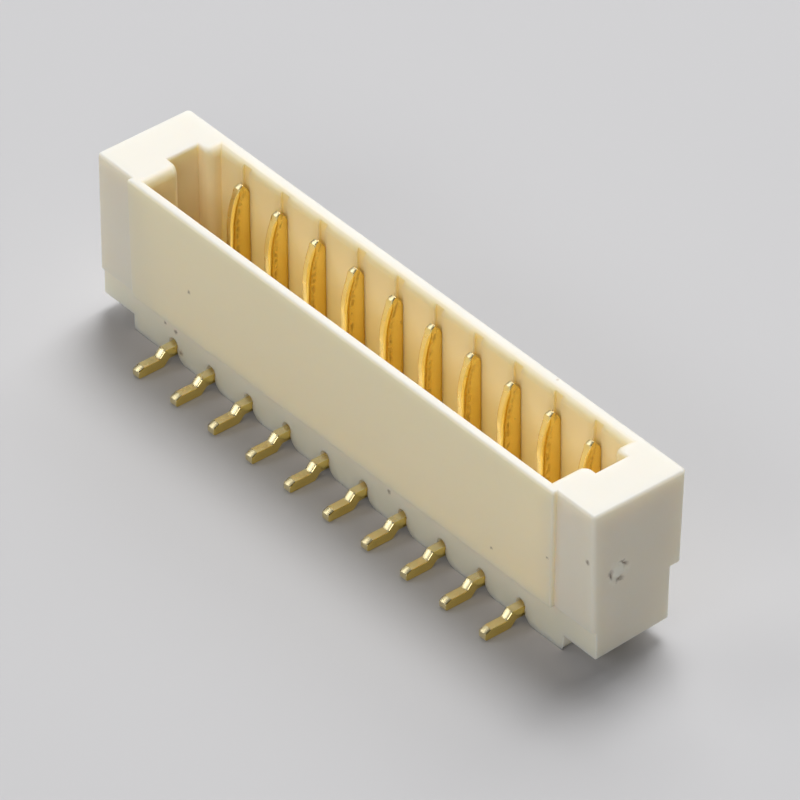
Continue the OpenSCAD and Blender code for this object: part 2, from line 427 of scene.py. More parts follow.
weight = shape.edges.layers.float.new("bevel_weight_edge")
used = {}
for edge in shape.edges:
    edge[weight] = 0
    if edge.is_convex and edge.calc_face_angle(0) > CORNER_ANGLE:
        radius = edge_radius(edge)
        edge[weight] = radius / WIDEST_R
        used[radius] = used.get(radius, 0) + 1
print("edges by radius in mm:", used)
shape.to_mesh(housing.data)
shape.free()
rounding = housing.modifiers.new("moulded_edges", "BEVEL")
rounding.limit_method = "WEIGHT"
rounding.width = WIDEST_R * MM
rounding.segments = EDGE_STEPS
rounding.use_clamp_overlap = False
settle(housing)
print("faces once rounded:", len(housing.data.polygons))

# %% [markdown]
# The socket
#
# The plug drops into one long pocket with a key slot at each end, so that it fits one way round only.
# A round rim leads it in: wide at the ends and the back, narrow along the thin front wall and the key
# slots. A bevel could not make these different widths meet at the slots' corners. So the rim is cut
# the way a form tool would cut it, by a stack of rectangles that grow towards the top. The upright
# corners beside the key slots are round too, right up through the rim. Each is cut by a stack of its
# own, which follows the rim outward as it rises.

# %% Cut the pocket
# How far a cutter reaches past the face that it opens
OVER = 0.1

half_plan = [
    (SOCKET_X, SOCKET_FRONT), (SOCKET_X, KEY_FRONT), (KEY_X, KEY_FRONT),
    (KEY_X, KEY_BACK), (SOCKET_X, KEY_BACK), (SOCKET_X, SOCKET_BACK),
]
socket_plan = half_plan + [(-x, y) for x, y in reversed(half_plan)]
combine(housing, solid("socket", (socket_plan, SOCKET_FLOOR, RIM_Z + OVER, "Z")), "DIFFERENCE")
print("faces with the pocket:", len(housing.data.polygons))

# %% Cut the round rim
LEAD_R = 0.14
FRONT_RIM_R = 0.05
KEY_RIM_R = 0.05
ARC_STEPS = 8
# How far a rim's cutter stays off the wall below the rim
OFF_WALL = 0.001


def box_outline(first_low, first_high, second_low, second_high):
    """The four corners of a rectangle."""
    low_side = [(first_low, second_low), (first_high, second_low)]
    return low_side + [(first_high, second_high), (first_low, second_high)]


def grown(radius, z):
    """How far a rim of a radius has opened at a height. Below the rim it stays off the wall."""
    climbed = z - (RIM_Z - radius)
    if climbed <= 0:
        return -OFF_WALL
    return radius - math.sqrt(max(0, radius**2 - climbed**2))


def loft(name, plans):
    """A solid through pairs of a height and a flat outline, with as many points in each."""
    shape = bmesh.new()
    rings = [[shape.verts.new(Vector((*point, z)) * MM) for point in plan] for z, plan in plans]
    skin(shape, rings)
    shape.faces.new(rings[0])
    shape.faces.new(rings[-1])
    return from_bmesh(name, shape)


def rim_levels(*radii):
    """The heights at which rims of these radii are drawn, from the lowest to above the part."""
    turns = [math.radians(90 * k / ARC_STEPS) for k in range(ARC_STEPS + 1)]
    levels = {RIM_Z - radius * (1 - math.sin(turn)) for radius in radii for turn in turns}
    return [*sorted(levels), RIM_Z + OVER]


def mouth(name, x_half, y_low, y_high, x_r, low_r, high_r):
    """A cutter for the round rim of a rectangular pocket, with a radius for each side."""
    plans = []
    for z in rim_levels(x_r, low_r, high_r):
        at = min(z, RIM_Z)
        x = x_half + grown(x_r, at)
        plans.append((z, box_outline(-x, x, y_low - grown(low_r, at), y_high + grown(high_r, at))))
    return loft(name, plans)


for cutter in (
    mouth("rim", SOCKET_X, SOCKET_FRONT, SOCKET_BACK, LEAD_R, FRONT_RIM_R, LEAD_R),
    mouth("key_rim", KEY_X, KEY_FRONT, KEY_BACK, KEY_RIM_R, KEY_RIM_R, KEY_RIM_R),
):
    combine(housing, cutter, "DIFFERENCE")
print("faces with the round rim:", len(housing.data.polygons))

# %% Round the corners beside the key slots
KEY_CORNER_R = 0.12
# How far a corner's cutter stays off the flat walls, and how far it reaches out into the open socket
CLEAR = 0.002
HIP_OVER = 0.03


def arc(middle, radius, start, stop, steps=ARC_STEPS):
    """Points of an arc in a plane, between two angles in degrees."""
    angles = [math.radians(start + (stop - start) * k / steps) for k in range(steps + 1)]
    return [(middle[0] + radius * math.cos(a), middle[1] + radius * math.sin(a)) for a in angles]


def hip(name, side, y_wall, way):
    """A cutter that rounds the corner between a socket end and a key slot, up through the rim."""
    turn = arc((KEY_CORNER_R, KEY_CORNER_R), KEY_CORNER_R, 180, 270)
    plans = []
    for z in [SOCKET_FLOOR + CLEAR, *rim_levels(LEAD_R, KEY_RIM_R)]:
        at = min(z, RIM_Z)
        x = SOCKET_X + grown(LEAD_R, at) - CLEAR
        y = y_wall + way * (grown(KEY_RIM_R, at) - CLEAR)
        plan = [(x - HIP_OVER, y - way * HIP_OVER), (x - HIP_OVER, y + way * KEY_CORNER_R)]
        plan += [(x + u, y + way * v) for u, v in turn]
        plan.append((x + KEY_CORNER_R, y - way * HIP_OVER))
        plans.append((z, [(side * u, v) for u, v in plan]))
    return loft(name, plans)


for side in (-1, 1):
    for y_wall, way in ((KEY_FRONT, -1), (KEY_BACK, 1)):
        combine(housing, hip("hip", side, y_wall, way), "DIFFERENCE")
print("faces with the socket done:", len(housing.data.polygons))

# %% [markdown]
# The contacts' slots
#
# A contact is pushed up from below: its blade passes through the floor and lies in a groove in the
# back wall, and its leg lies in a slot under the base. Where the tail leaves the skirt, the slot has
# an arch above and flares out below. These cuts could be made contact by contact, but they are the
# same for all, so each shape is drawn once and one cutter holds it at every contact's place.

# %% Cut the slots
SLOT_HALF = 0.08
SEAT_IN = 0.045
SLOT_D = 0.365
LEG_TOP = 0.26
FLARE_W = 0.22
FLARE_H = 0.19
ARCH_R = 0.09
ARCH_Z = 0.25
ARCH_IN = 0.2
BLADE_BACK = SOCKET_BACK + SEAT_IN
SLOT_FRONT = BLADE_BACK - SLOT_D


def moved(outline, x):
    """An outline moved along its first coordinate."""
    return [(first + x, second) for first, second in outline]


groove = box_outline(-SLOT_HALF, SLOT_HALF, LEG_TOP - OVER, RIM_Z + OVER)
flare = [(SLOT_HALF + FLARE_W * u, FLARE_H * v) for u, v in arc((1, 1), 1, 180, 270)]
leg_slot = [(SLOT_HALF, LEG_TOP), *flare, (flare[-1][0], -OVER)]
leg_slot += [(-x, z) for x, z in reversed(leg_slot)]
arch = arc((0, ARCH_Z), ARCH_R, 0, 360, 4 * ARC_STEPS)[:-1]
for name, outline, start, stop in (
    ("grooves", groove, SLOT_FRONT, BLADE_BACK),
    ("leg_slots", leg_slot, BASE_FRONT - OVER, BLADE_BACK),
    ("arches", arch, BASE_FRONT - OVER, BASE_FRONT + ARCH_IN),
):
    cutter = solid(name, *[(moved(outline, x), start, stop, "Y") for x in places])
    combine(housing, cutter, "DIFFERENCE")
    print("faces after cutting the", name + ":", len(housing.data.polygons))

# %% [markdown]
# The gate mark
#
# Molten plastic enters the mould through a gate. When the part is broken off there, a torn stub
# stays behind, in a shallow round recess so that nothing stands out of the end face. A bump in the
# material could fake it, but the tear has real depth and throws real shade, so the recess's floor
# is cut into rings and its points are pushed out by noise.

# %% Tear the gate mark
GATE_R = 0.16
GATE_REACH = 1.05 * GATE_R
GATE_RINGS = 12
# Depths below the end face, and how far the stub rises again
LEAST_DEPTH = 0.001
RIM_DEPTH = 0.004
FLOOR_DEPTH = 0.012
PIT_DEPTH = 0.02
STUB_RISE = 0.007
# Places in the recess, as shares of its radius
DISH_FLAT = 0.75
STUB_FULL = 0.4
STUB_EDGE = 0.62
CRACK_AT = 0.7
CRACK_CORE = 0.02
CRACK_HALF = 0.16
# Strength and scale of the coarse and the fine noise, how far they move the stub's and the crack's
# edges, and the noise at which the crack starts to open and is fully open
RAGS = [(0.5, 1.9), (0.25, 5.3)]
STUB_RAGGED = 0.5
CRACK_RAGGED = 0.4
CRACK_STARTS = -0.1
CRACK_OPEN = 0.25
GATE_MIDDLE = Vector((END_X - PIT_DEPTH, -0.355, 1.53))


def smooth_step(low, high, value):
    """Rises smoothly from 0 at low to 1 at high, or falls where low is more than high."""
    share = min(1, max(0, (value - low) / (high - low)))
    return share * share * (3 - 2 * share)


def torn_depth(place):
    """How deep the torn plastic lies below the end face at a place in the recess, in millimetres."""
    across = (place - GATE_MIDDLE) / GATE_R
    out = Vector((across.y, across.z)).length
    ragged = sum(strength * noise.noise(across * scale) for strength, scale in RAGS)
    dish = RIM_DEPTH + (FLOOR_DEPTH - RIM_DEPTH) * smooth_step(1, DISH_FLAT, out)
    stub = smooth_step(STUB_EDGE, STUB_FULL, out + STUB_RAGGED * ragged)
    off_crack = abs(out + CRACK_RAGGED * ragged - CRACK_AT)
    opened = smooth_step(CRACK_STARTS, CRACK_OPEN, ragged)
    crack = smooth_step(CRACK_HALF, CRACK_CORE, off_crack) * opened
    depth = dish - STUB_RISE * stub * (1 + ragged) + (PIT_DEPTH - FLOOR_DEPTH) * crack
    return min(PIT_DEPTH, max(LEAST_DEPTH, depth))


gate_outline = arc((GATE_MIDDLE.y, GATE_MIDDLE.z), GATE_R, 0, 360, 6 * ARC_STEPS)[:-1]
combine(housing, solid("gate", (gate_outline, GATE_MIDDLE.x, END_X + OVER, "X")), "DIFFERENCE")
shape = bmesh.new()
shape.from_mesh(housing.data)
gate_floor = min(shape.faces, key=lambda face: (face.calc_center_median() - GATE_MIDDLE * MM).length)
for _ in range(GATE_RINGS):
    bmesh.ops.inset_individual(shape, faces=[gate_floor], thickness=GATE_R / (GATE_RINGS + 1) * MM)
torn = 0
for point in shape.verts:
    place = point.co / MM
    if abs(place.x - GATE_MIDDLE.x) < CLEAR and (place - GATE_MIDDLE).length < GATE_REACH:
        point.co.x = (END_X - torn_depth(place)) * MM
        torn += 1
bmesh.ops.remove_doubles(shape, verts=shape.verts, dist=SAME_PLACE)
bmesh.ops.dissolve_degenerate(shape, edges=shape.edges, dist=SAME_PLACE)
for face in shape.faces:
    face.smooth = True
shape.to_mesh(housing.data)
shape.free()
print("points in the gate mark:", torn)

# %% [markdown]
# Shading of the housing
#
# The walls of the moulding are flat, and only its edges are round. Plain smooth shading would bend
# the light over the flat walls too, and flat shading would show every step of the radii. Weighted
# normals give the larger face more say at each shared point, so the walls stay flat and the radii
# run smoothly into them. The finished mesh then takes the place of the frame's solid.

# %% Hand the housing to the frame
housing_mesh = housing.data
housing_mesh.set_sharp_from_angle(angle=CORNER_ANGLE)
evening = housing.modifiers.new("flat_faces_stay_flat", "WEIGHTED_NORMAL")
evening.keep_sharp = True
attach(housing, "root")
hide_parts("housing")
low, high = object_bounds()
print("box in mm after rounding:", [round(x / MM, 4) for x in (*low, *high)])

# %% [markdown]
# The contacts
#
# Each contact is stamped from a strip that stands on edge, so its shape is one outline with an
# even thickness. The press leaves a small radius all round, and the front edge of the blade is
# coined: squeezed to a clear bevel that guides the plug. The outline is drawn once, as corners
# with a radius each, then swept through a few layers across the strip. Setting the bevel's width
# for each point is what a plain extrusion with one bevel could not do.

# %% Sizes of a contact
STRIP_T = 0.14
BLADE_W = 0.355
TIP_W = 0.07
TIP_SLOPE = 0.04
NOSE_LENGTH = 0.6
NOSE_R = 1.25
SHOULDER_H = 0.3
TIP_THIN = 0.025
TIP_THIN_H = 0.07
TIP_R = 0.012
LEG_GAP = 0.1
TAIL_H = 0.16
BASE_TO_TOE = 0.65
BASE_TO_BEND = 0.19
SLOPE_RUN = 0.095
BEND_R = 0.04
TOE_RUN = 0.1
TOE_DROP = 0.045
TOE_R = 0.02

contact_low, contact_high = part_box(contact_nodes[0])
toe_y = contact_low.y / MM
blade_back = contact_high.y / MM
tip_z = contact_high.z / MM
blade_front = blade_back - BLADE_W
facet_z = tip_z - TIP_SLOPE
nose_z = facet_z - NOSE_LENGTH
thin_z = tip_z - TIP_THIN_H
shoulder_z = tip_z - SHOULDER_H
leg_top = LEG_GAP + TAIL_H
bend_y = toe_y + BASE_TO_TOE - BASE_TO_BEND
foot_y = bend_y - SLOPE_RUN
# How much further in the lower corners of the sloped stretch lie, so that it stays as thick
under = TAIL_H * math.tan(math.atan(LEG_GAP / SLOPE_RUN) / 2)
print("toe, blade's back and tip in mm:", [round(x, 3) for x in (toe_y, blade_back, tip_z)])

# %% Contact outline
CORNER_STEPS = 8
CURVE_STEPS = 20


def nose_y(z):
    """Where the nose's round front edge lies at a height."""
    return blade_front + NOSE_R - math.sqrt(NOSE_R**2 - (z - nose_z) ** 2)


tip_front = nose_y(facet_z)
tip_back = tip_front + TIP_W
shoulder_w = blade_back - tip_back
shoulder_r = (shoulder_w**2 + SHOULDER_H**2) / (2 * shoulder_w)


def shoulder_y(z):
    """Where the round shoulder behind the tip lies at a height."""
    return blade_back - shoulder_r + math.sqrt(shoulder_r**2 - (z - shoulder_z) ** 2)


def heights(low, high):
    """Even steps from one height up to another."""
    return [low + (high - low) * k / CURVE_STEPS for k in range(CURVE_STEPS + 1)]


def round_corner(before, corner, after, radius):
    """Points of the arc that turns a corner of the outline on a radius."""
    here = Vector(corner)
    to_before = (Vector(before) - here).normalized()
    to_after = (Vector(after) - here).normalized()
    half = to_before.angle(to_after) / 2
    centre = here + (to_before + to_after).normalized() * radius / math.sin(half)
    first = here + to_before * radius / math.tan(half) - centre
    turn = math.pi - 2 * half
    if to_before.cross(to_after) > 0:
        turn = -turn
    steps = [turn * k / CORNER_STEPS for k in range(CORNER_STEPS + 1)]
    return [centre + Matrix.Rotation(step, 2) @ first for step in steps]


# Each corner's place along Y and Z, and its radius
corners = [
    (toe_y, 0, BEND_R),
    (foot_y + under, 0, BEND_R),
    (bend_y + under, LEG_GAP, BEND_R),
    (blade_back, LEG_GAP, BEND_R),
    *[(shoulder_y(z), z, 0) for z in heights(shoulder_z, thin_z)],
    (tip_back, tip_z, TIP_R),
    (tip_front, facet_z, TIP_R),
    *[(nose_y(z), z, 0) for z in reversed(heights(nose_z, thin_z))],
    (blade_front, leg_top, 0),
    (bend_y, leg_top, BEND_R),
    (foot_y, TAIL_H, BEND_R),
    (toe_y + TOE_RUN, TAIL_H, TOE_R),
    (toe_y, TAIL_H - TOE_DROP, TOE_R),
]
outline = []
for i, (y, z, radius) in enumerate(corners):
    if radius == 0:
        outline.append(Vector((y, z)))
    else:
        outline += round_corner(corners[i - 1][:2], (y, z), corners[(i + 1) % len(corners)][:2], radius)
print("outline points:", len(outline))

# %% Sweep the outline through the strip
COIN_W = 0.036
COIN_DEPTH = 0.075
COIN_FADE = 0.1
STAMPED_R = 0.016
LEAST_COSINE = 0.3
SAME_HEIGHT = 1e-6
GOLD_SHARP_ANGLE = math.radians(24)
# Shares of the bevel: how far in from the outline, and how far out towards the strip's face
BEVEL_STEPS = [(0, 0), (0.08, 0.32), (0.32, 0.72), (0.7, 0.95), (1, 1)]


def coined(point):
    """The bevel's depth and width at a point of the outline: large on the front of the blade only."""
    if point.y < leg_top + NEAR or point.x > tip_back - NEAR:
        return STAMPED_R, STAMPED_R
    share = smooth_step(facet_z + NEAR, thin_z - COIN_FADE, point.y)
    return STAMPED_R + (COIN_DEPTH - STAMPED_R) * share, STAMPED_R + (COIN_W - STAMPED_R) * share


def half_thickness(point):
    """Half the strip's thickness at a point, less where the tip is thinned."""
    thinned = max(0, (point.y - thin_z) / TIP_THIN_H)
    return STRIP_T / 2 - TIP_THIN * thinned


def outward(i):
    """The outline's outward direction at a point, stretched at a corner so that sides stay even."""
    here = outline[i]
    before = (here - outline[i - 1]).normalized()
    after = (outline[(i + 1) % len(outline)] - here).normalized()
    first = Vector((before.y, -before.x))
    second = Vector((after.y, -after.x))
    middle = (first + second).normalized()
    return middle / max(LEAST_COSINE, middle.dot(first))


def build_contact():
    """The mesh of one contact, with its strip's middle at x = 0."""
    shape = bmesh.new()
    layers = []
    for side, steps in ((-1, reversed(BEVEL_STEPS)), (1, BEVEL_STEPS)):
        for inward, out in steps:
            ring = []
            for i, point in enumerate(outline):
                depth, width = coined(point)
                place = point - outward(i) * depth * inward
                x = side * (half_thickness(point) - width * (1 - out))
                ring.append(shape.verts.new(Vector((x, place.x, place.y)) * MM))
            layers.append(ring)
    skin(shape, layers)
    # The tip is thinned, so each side of the strip is two flat faces that meet where that begins
    is_tip = [point.y >= thin_z - SAME_HEIGHT for point in outline]
    first_tip = is_tip.index(True)
    last_tip = len(outline) - 1 - is_tip[::-1].index(True)
    for ring in (layers[0], layers[-1]):
        shape.faces.new(ring[first_tip : last_tip + 1])
        shape.faces.new(ring[last_tip:] + ring[: first_tip + 1])
    bmesh.ops.recalc_face_normals(shape, faces=shape.faces)
    mesh = bpy.data.meshes.new("gold_contact")
    shape.to_mesh(mesh)
    shape.free()
    mesh.shade_smooth()
    mesh.set_sharp_from_angle(angle=GOLD_SHARP_ANGLE)
    return mesh


contact_mesh = build_contact()
print("contact faces:", len(contact_mesh.polygons))

# %% Place the contacts
for node in contact_nodes:
    low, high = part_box(node)
    contact = bpy.data.objects.new("gold_" + node, contact_mesh)
    contact.location.x = (low.x + high.x) / 2
    bpy.context.scene.collection.objects.link(contact)
    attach(contact, "root")
    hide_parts(node)
print("contacts that share the mesh:", contact_mesh.users)

# %% [markdown]
# Effects that both finishes share
#
# Plastic and metal are unlike, but both have slow clouds of colour, stray specks, and a fine grain
# left by the tool that shaped them. These could be wired into each material by hand. Instead each
# effect is built once as a node group, with named inputs, and every material sets its own values.
# Scales are per metre, because the coordinates are.

# %% Slow clouds
CLOUD_DETAIL = 3.0
CLOUD_ROUGHNESS = 0.55


def math_node(tree, operation, first, second=0.5, third=0.5, clamp=False):
    """A Math node whose inputs are numbers or other nodes' outputs. Returns its output."""
    node = put(tree, "ShaderNodeMath", operation=operation, use_clamp=clamp)
    for socket, value in zip(node.inputs, (first, second, third)):
        if isinstance(value, (int, float)):
            socket.default_value = value
        else:
            tree.links.new(value, socket)
    return node.outputs[0]


def new_group(name, output, **inputs):
    """A shader group with a place and value inputs, each with its default, and one value output."""
    group = bpy.data.node_groups.new(name, "ShaderNodeTree")
    group.interface.new_socket("Place", in_out="INPUT", socket_type="NodeSocketVector")
    for label, value in inputs.items():
        socket = group.interface.new_socket(label, in_out="INPUT", socket_type="NodeSocketFloat")
        socket.default_value = value
    group.interface.new_socket(output, in_out="OUTPUT", socket_type="NodeSocketFloat")
    return group, group.nodes.new("NodeGroupInput").outputs, group.nodes.new("NodeGroupOutput")


def texture(group, kind, place, scale, **values):
    """A texture node in a group, fed with a place and a scale. Returns its outputs."""
    node = put(group, kind, values)
    group.links.new(place, node.inputs["Vector"])
    group.links.new(scale, node.inputs["Scale"])
    return node.outputs


clouds_group, given, output = new_group("slow_clouds", "Cloud", Scale=800.0, Contrast=1.5)
soft = {"Detail": CLOUD_DETAIL, "Roughness": CLOUD_ROUGHNESS}
cloud = texture(clouds_group, "ShaderNodeTexNoise", given["Place"], given["Scale"], **soft)["Fac"]
centred = math_node(clouds_group, "SUBTRACT", cloud, 0.5)
stronger = math_node(clouds_group, "MULTIPLY_ADD", centred, given["Contrast"], 0.5, clamp=True)
clouds_group.links.new(stronger, output.inputs["Cloud"])
print("nodes of the clouds:", len(clouds_group.nodes))


# %% Stray specks
def fading(tree, distance, reach):
    """A share that falls from 1 where a distance is 0 to 0 at a reach and beyond."""
    share = math_node(tree, "DIVIDE", distance, reach)
    return math_node(tree, "SUBTRACT", 1.0, share, clamp=True)


specks_group, given, output = new_group("stray_specks", "Speck", Scale=2500.0, Share=0.05, Size=0.2)
cells = texture(specks_group, "ShaderNodeTexVoronoi", given["Place"], given["Scale"], Randomness=1.0)
lot = put(specks_group, "ShaderNodeSeparateColor")
specks_group.links.new(cells["Color"], lot.inputs[0])
chosen = math_node(specks_group, "LESS_THAN", lot.outputs[0], given["Share"])
near = fading(specks_group, cells["Distance"], given["Size"])
specks_group.links.new(math_node(specks_group, "MULTIPLY", chosen, near), output.inputs["Speck"])
print("nodes of the specks:", len(specks_group.nodes))

# %% Tool grain
GRAIN_DETAIL = 2.0
FINER = 3.7

grain_group, given, output = new_group("tool_grain", "Grain", Scale=30000.0, Fineness=0.4)
finer_scale = math_node(grain_group, "MULTIPLY", given["Scale"], FINER)
coarse, fine = (
    texture(grain_group, "ShaderNodeTexNoise", given["Place"], scale, Detail=GRAIN_DETAIL)["Fac"]
    for scale in (given["Scale"], finer_scale)
)
both = math_node(grain_group, "MULTIPLY_ADD", fine, given["Fineness"], coarse)
grain_group.links.new(both, output.inputs["Grain"])
print("nodes of the grain:", len(grain_group.nodes))

# %% [markdown]
# Ivory nylon
#
# Natural nylon lets light in a little way before it scatters back. That softens its edges and warms
# its thin walls. The shader's subsurface part does this, with a reach of about a fifth of a
# millimetre, slightly longer for red. On top of that, light and shade are painted into the colour,
# zone by zone, each laid on by a share that is worked out from the place. The thin front wall is
# painted warmer for the light that shines through it. The base under the ledge is painted brighter
# and warmer to lift its shade. The rim's top is painted greyer and a little darker against the key's
# glare. In the socket the light bounces between ivory and gold until it is a deep yellow, and a
# renderer follows only a few of those bounces, so the socket is painted that yellow, with a painted
# golden glow beside each blade.

# %% Start the nylon
IVORY = (0.915, 0.852, 0.715)
IVORY_WARM = (0.905, 0.828, 0.67)
REACH = 0.22 * MM
REACH_BY_COLOUR = (1.0, 0.92, 0.8)
NYLON_IOR = 1.5
# A Mix node has sockets for every kind of data. These are its share, its two colours and its result
MIX_INPUTS = (0, 6, 7)
MIX_RESULT = 2


def mix_colours(tree, share, first, second):
    """A colour Mix node. The colours are outputs, or tuples of three numbers. Returns its output."""
    node = put(tree, "ShaderNodeMix", data_type="RGBA")
    for number, value in zip(MIX_INPUTS, (share, first, second)):
        if isinstance(value, tuple):
            node.inputs[number].default_value = (*value, 1)
        else:
            tree.links.new(value, node.inputs[number])
    return node.outputs[MIX_RESULT]


def place_group(tree, group, place, **values):
    """A group node fed with a place, and with its own values. Returns its one output."""
    node = put(tree, "ShaderNodeGroup", node_tree=group)
    for label, value in values.items():
        node.inputs[label].default_value = value
    tree.links.new(place, node.inputs["Place"])
    return node.outputs[0]


def split(tree, vector):
    """The x, y and z of a vector."""
    node = put(tree, "ShaderNodeSeparateXYZ")
    tree.links.new(vector, node.inputs[0])
    return node.outputs


ivory, tree, output = new_material("ivory_nylon")
shader = put(tree, "ShaderNodeBsdfPrincipled", {
    "Subsurface Weight": 1.0,
    "Subsurface Radius": REACH_BY_COLOUR,
    "Subsurface Scale": REACH,
    "IOR": NYLON_IOR,
})
tree.links.new(shader.outputs[0], output.inputs["Surface"])
place = put(tree, "ShaderNodeTexCoord").outputs["Object"]
x, y, z = split(tree, place)
cloud = place_group(tree, clouds_group, place, Scale=900.0, Contrast=1.8)
colour = mix_colours(tree, cloud, IVORY, IVORY_WARM)
print("nodes of the plain nylon:", len(tree.nodes))

# %% Lay on the zones of colour
# The front wall's colour is a painted glow: warmer, standing in for light shining through the thin wall
WALL_PAINTED_GLOW = (0.935, 0.838, 0.625)
# The base's colour is painted light: brighter and warmer, to lift the shade under the ledge
BASE_PAINTED_LIGHT = (1.0, 0.87, 0.7)
# The rim's colour is painted glare: greyer and a little darker on the top, for how the key light falls
# on it
RIM_PAINTED_GLARE = (0.835, 0.805, 0.725)
# The socket's colour is painted bounce light: the deep yellow that light takes between ivory and gold
SOCKET_PAINTED_BOUNCE = (1.0, 0.83, 0.57)
# A painted reflection of the gold: a golden glow on the back wall beside each blade
PAINTED_GOLD_GLOW = (1.0, 0.75, 0.34)
RIM_FADE = 0.02
SOCKET_FADE = 0.06
SOCKET_MARGIN = 0.04
GLOW_WIDTH = 0.13
GLOW_SHARE = 0.45


def inside_socket(tree, x, y, z):
    """A share that rises from 0 at the socket's rim to 1 a little deeper inside, and is 0 outside."""
    deep = math_node(tree, "SUBTRACT", RIM_Z * MM, z)
    share = math_node(tree, "DIVIDE", deep, SOCKET_FADE * MM, clamp=True)
    for value, limit, test in (
        (math_node(tree, "ABSOLUTE", x), KEY_X + SOCKET_MARGIN, "LESS_THAN"),
        (y, SOCKET_FRONT - SOCKET_MARGIN, "GREATER_THAN"),
        (y, SOCKET_BACK + LEAD_R, "LESS_THAN"),
        (z, SOCKET_FLOOR - SOCKET_MARGIN, "GREATER_THAN"),
    ):
        share = math_node(tree, "MULTIPLY", share, math_node(tree, test, value, limit * MM))
    return share


def beside_blades(tree, x, y):
    """A share that is 1 in each blade's groove and falls to 0 a little way along the back wall."""
    half_spacing = (places[1] - places[0]) / 2
    from_between = math_node(tree, "PINGPONG", x, half_spacing * MM)
    from_groove = math_node(tree, "SUBTRACT", (half_spacing - SLOT_HALF) * MM, from_between)
    on_back = math_node(tree, "GREATER_THAN", y, (SOCKET_BACK - NEAR) * MM)
    return math_node(tree, "MULTIPLY", fading(tree, from_groove, GLOW_WIDTH * MM), on_back)


# Painted glow on the thin front wall
glow_wall_share = math_node(tree, "LESS_THAN", y, (BLOCK_FRONT - NEAR) * MM)
# Painted light on the base below the ledge, where it would lie in shade
low_down = math_node(tree, "LESS_THAN", z, LEDGE_Z * MM)
in_front = math_node(tree, "LESS_THAN", y, (BASE_FRONT + NEAR) * MM)
lit_base_share = math_node(tree, "MULTIPLY", low_down, in_front)
# Painted glare on the rim's top, fading in over RIM_FADE below it
above_fade = math_node(tree, "SUBTRACT", z, (RIM_Z - RIM_FADE) * MM)
glare_rim_share = math_node(tree, "DIVIDE", above_fade, RIM_FADE * MM, clamp=True)
# Painted bounce light, deeper in the socket
socket_bounce_share = inside_socket(tree, x, y, z)
# Painted golden glow beside the blades, inside the socket
by_blades = math_node(tree, "MULTIPLY", beside_blades(tree, x, y), socket_bounce_share)
gold_glow_share = math_node(tree, "MULTIPLY", by_blades, GLOW_SHARE)
# Each zone's colour is painted light or shade, laid over the plain nylon's own colour
zones = [
    (glow_wall_share, WALL_PAINTED_GLOW),
    (lit_base_share, BASE_PAINTED_LIGHT),
    (glare_rim_share, RIM_PAINTED_GLARE),
    (socket_bounce_share, SOCKET_PAINTED_BOUNCE),
    (gold_glow_share, PAINTED_GOLD_GLOW),
]
for share, zone_colour in zones:
    colour = mix_colours(tree, share, colour, zone_colour)
print("zones of colour:", len(zones))

# %% [markdown]
# Marks on the plastic
#
# A real moulding isn't spotless. Stray warm specks lie in it, and a few dark bits of dirt stick to its
# front. At the gate the torn plastic has turned white, and stretches of a broken dark ring run near
# the recess's edge. Such marks could be small pieces of mesh, but they have no height to speak of. So
# they are drawn in the material: what lies near the middle of a mark takes its colour, and the dark
# marks and the torn plastic get ragged edges from noise that moves the places about.

# %% Lay on specks, torn plastic and dirt
SPECK_BROWN = (0.42, 0.31, 0.18)
SPECK_STRENGTH = 1.4
TORN_IVORY = (0.97, 0.905, 0.775)
TORN_STRENGTH = 1.6
DARK_MARK_BROWN = (0.3, 0.24, 0.16)
DIRT_RAGGED = 0.04
FINE_RAGS = 14000.0
COARSE_RAGS = 8000.0
# Place and radius of each dark mark in mm: on the front wall, the right block and the base
DIRT = [
    ((-3.07, WALL_FRONT, 1.48), 0.038),
    ((3.16, WALL_FRONT, 0.97), 0.035),
    ((4.27, WALL_FRONT, 1.49), 0.03),
    ((4.99, BLOCK_FRONT, 1.81), 0.045),
    ((0.93, BASE_FRONT, 0.49), 0.045),
    ((-3.44, BASE_FRONT, 0.19), 0.05),
    ((-3.77, BASE_FRONT, 0.51), 0.04),
    ((-3.54, BASE_FRONT, 0.48), 0.045),
]
# At the gate: patches of whitened plastic, and the stretches of a broken dark ring near the recess's
# edge
WHITENED = [((END_X, -0.37, 1.55), 0.2), ((END_X, -0.42, 1.44), 0.13)]
GATE_DARK_STRETCHES = [((END_X, -0.27, 1.62), 0.11), ((END_X, -0.5, 1.51), 0.1), ((END_X, -0.34, 1.38), 0.09)]
GATE_DARK_STRENGTH = 1.5
GATE_DARK_RING = 0.15
GATE_DARK_WIDTH = 0.05
GATE_RAGGED = 0.1


def distance_to(tree, place, centre):
    """The distance from a place to a point given in millimetres."""
    away = put(tree, "ShaderNodeVectorMath", {1: Vector(centre) * MM}, operation="DISTANCE")
    tree.links.new(place, away.inputs[0])
    return away.outputs["Value"]


def spots(tree, place, marks):
    """A share that is 1 at the middle of each mark and 0 from its radius on."""
    total = 0.0
    for centre, radius in marks:
        spot = fading(tree, distance_to(tree, place, centre), radius * MM)
        total = math_node(tree, "MAXIMUM", spot, total)
    return total


def ragged_place(tree, place, scale, amount):
    """A place that noise moves about by up to an amount in millimetres each way, for ragged edges."""
    wobble = put(tree, "ShaderNodeTexNoise", {"Scale": scale, "Detail": 2.0})
    tree.links.new(place, wobble.inputs["Vector"])
    centred = put(tree, "ShaderNodeVectorMath", {1: [0.5] * 3}, operation="SUBTRACT")
    tree.links.new(wobble.outputs["Color"], centred.inputs[0])
    ragged = put(tree, "ShaderNodeVectorMath", {1: [2 * amount * MM] * 3}, operation="MULTIPLY_ADD")
    tree.links.new(centred.outputs[0], ragged.inputs[0])
    tree.links.new(place, ragged.inputs[2])
    return ragged.outputs[0]


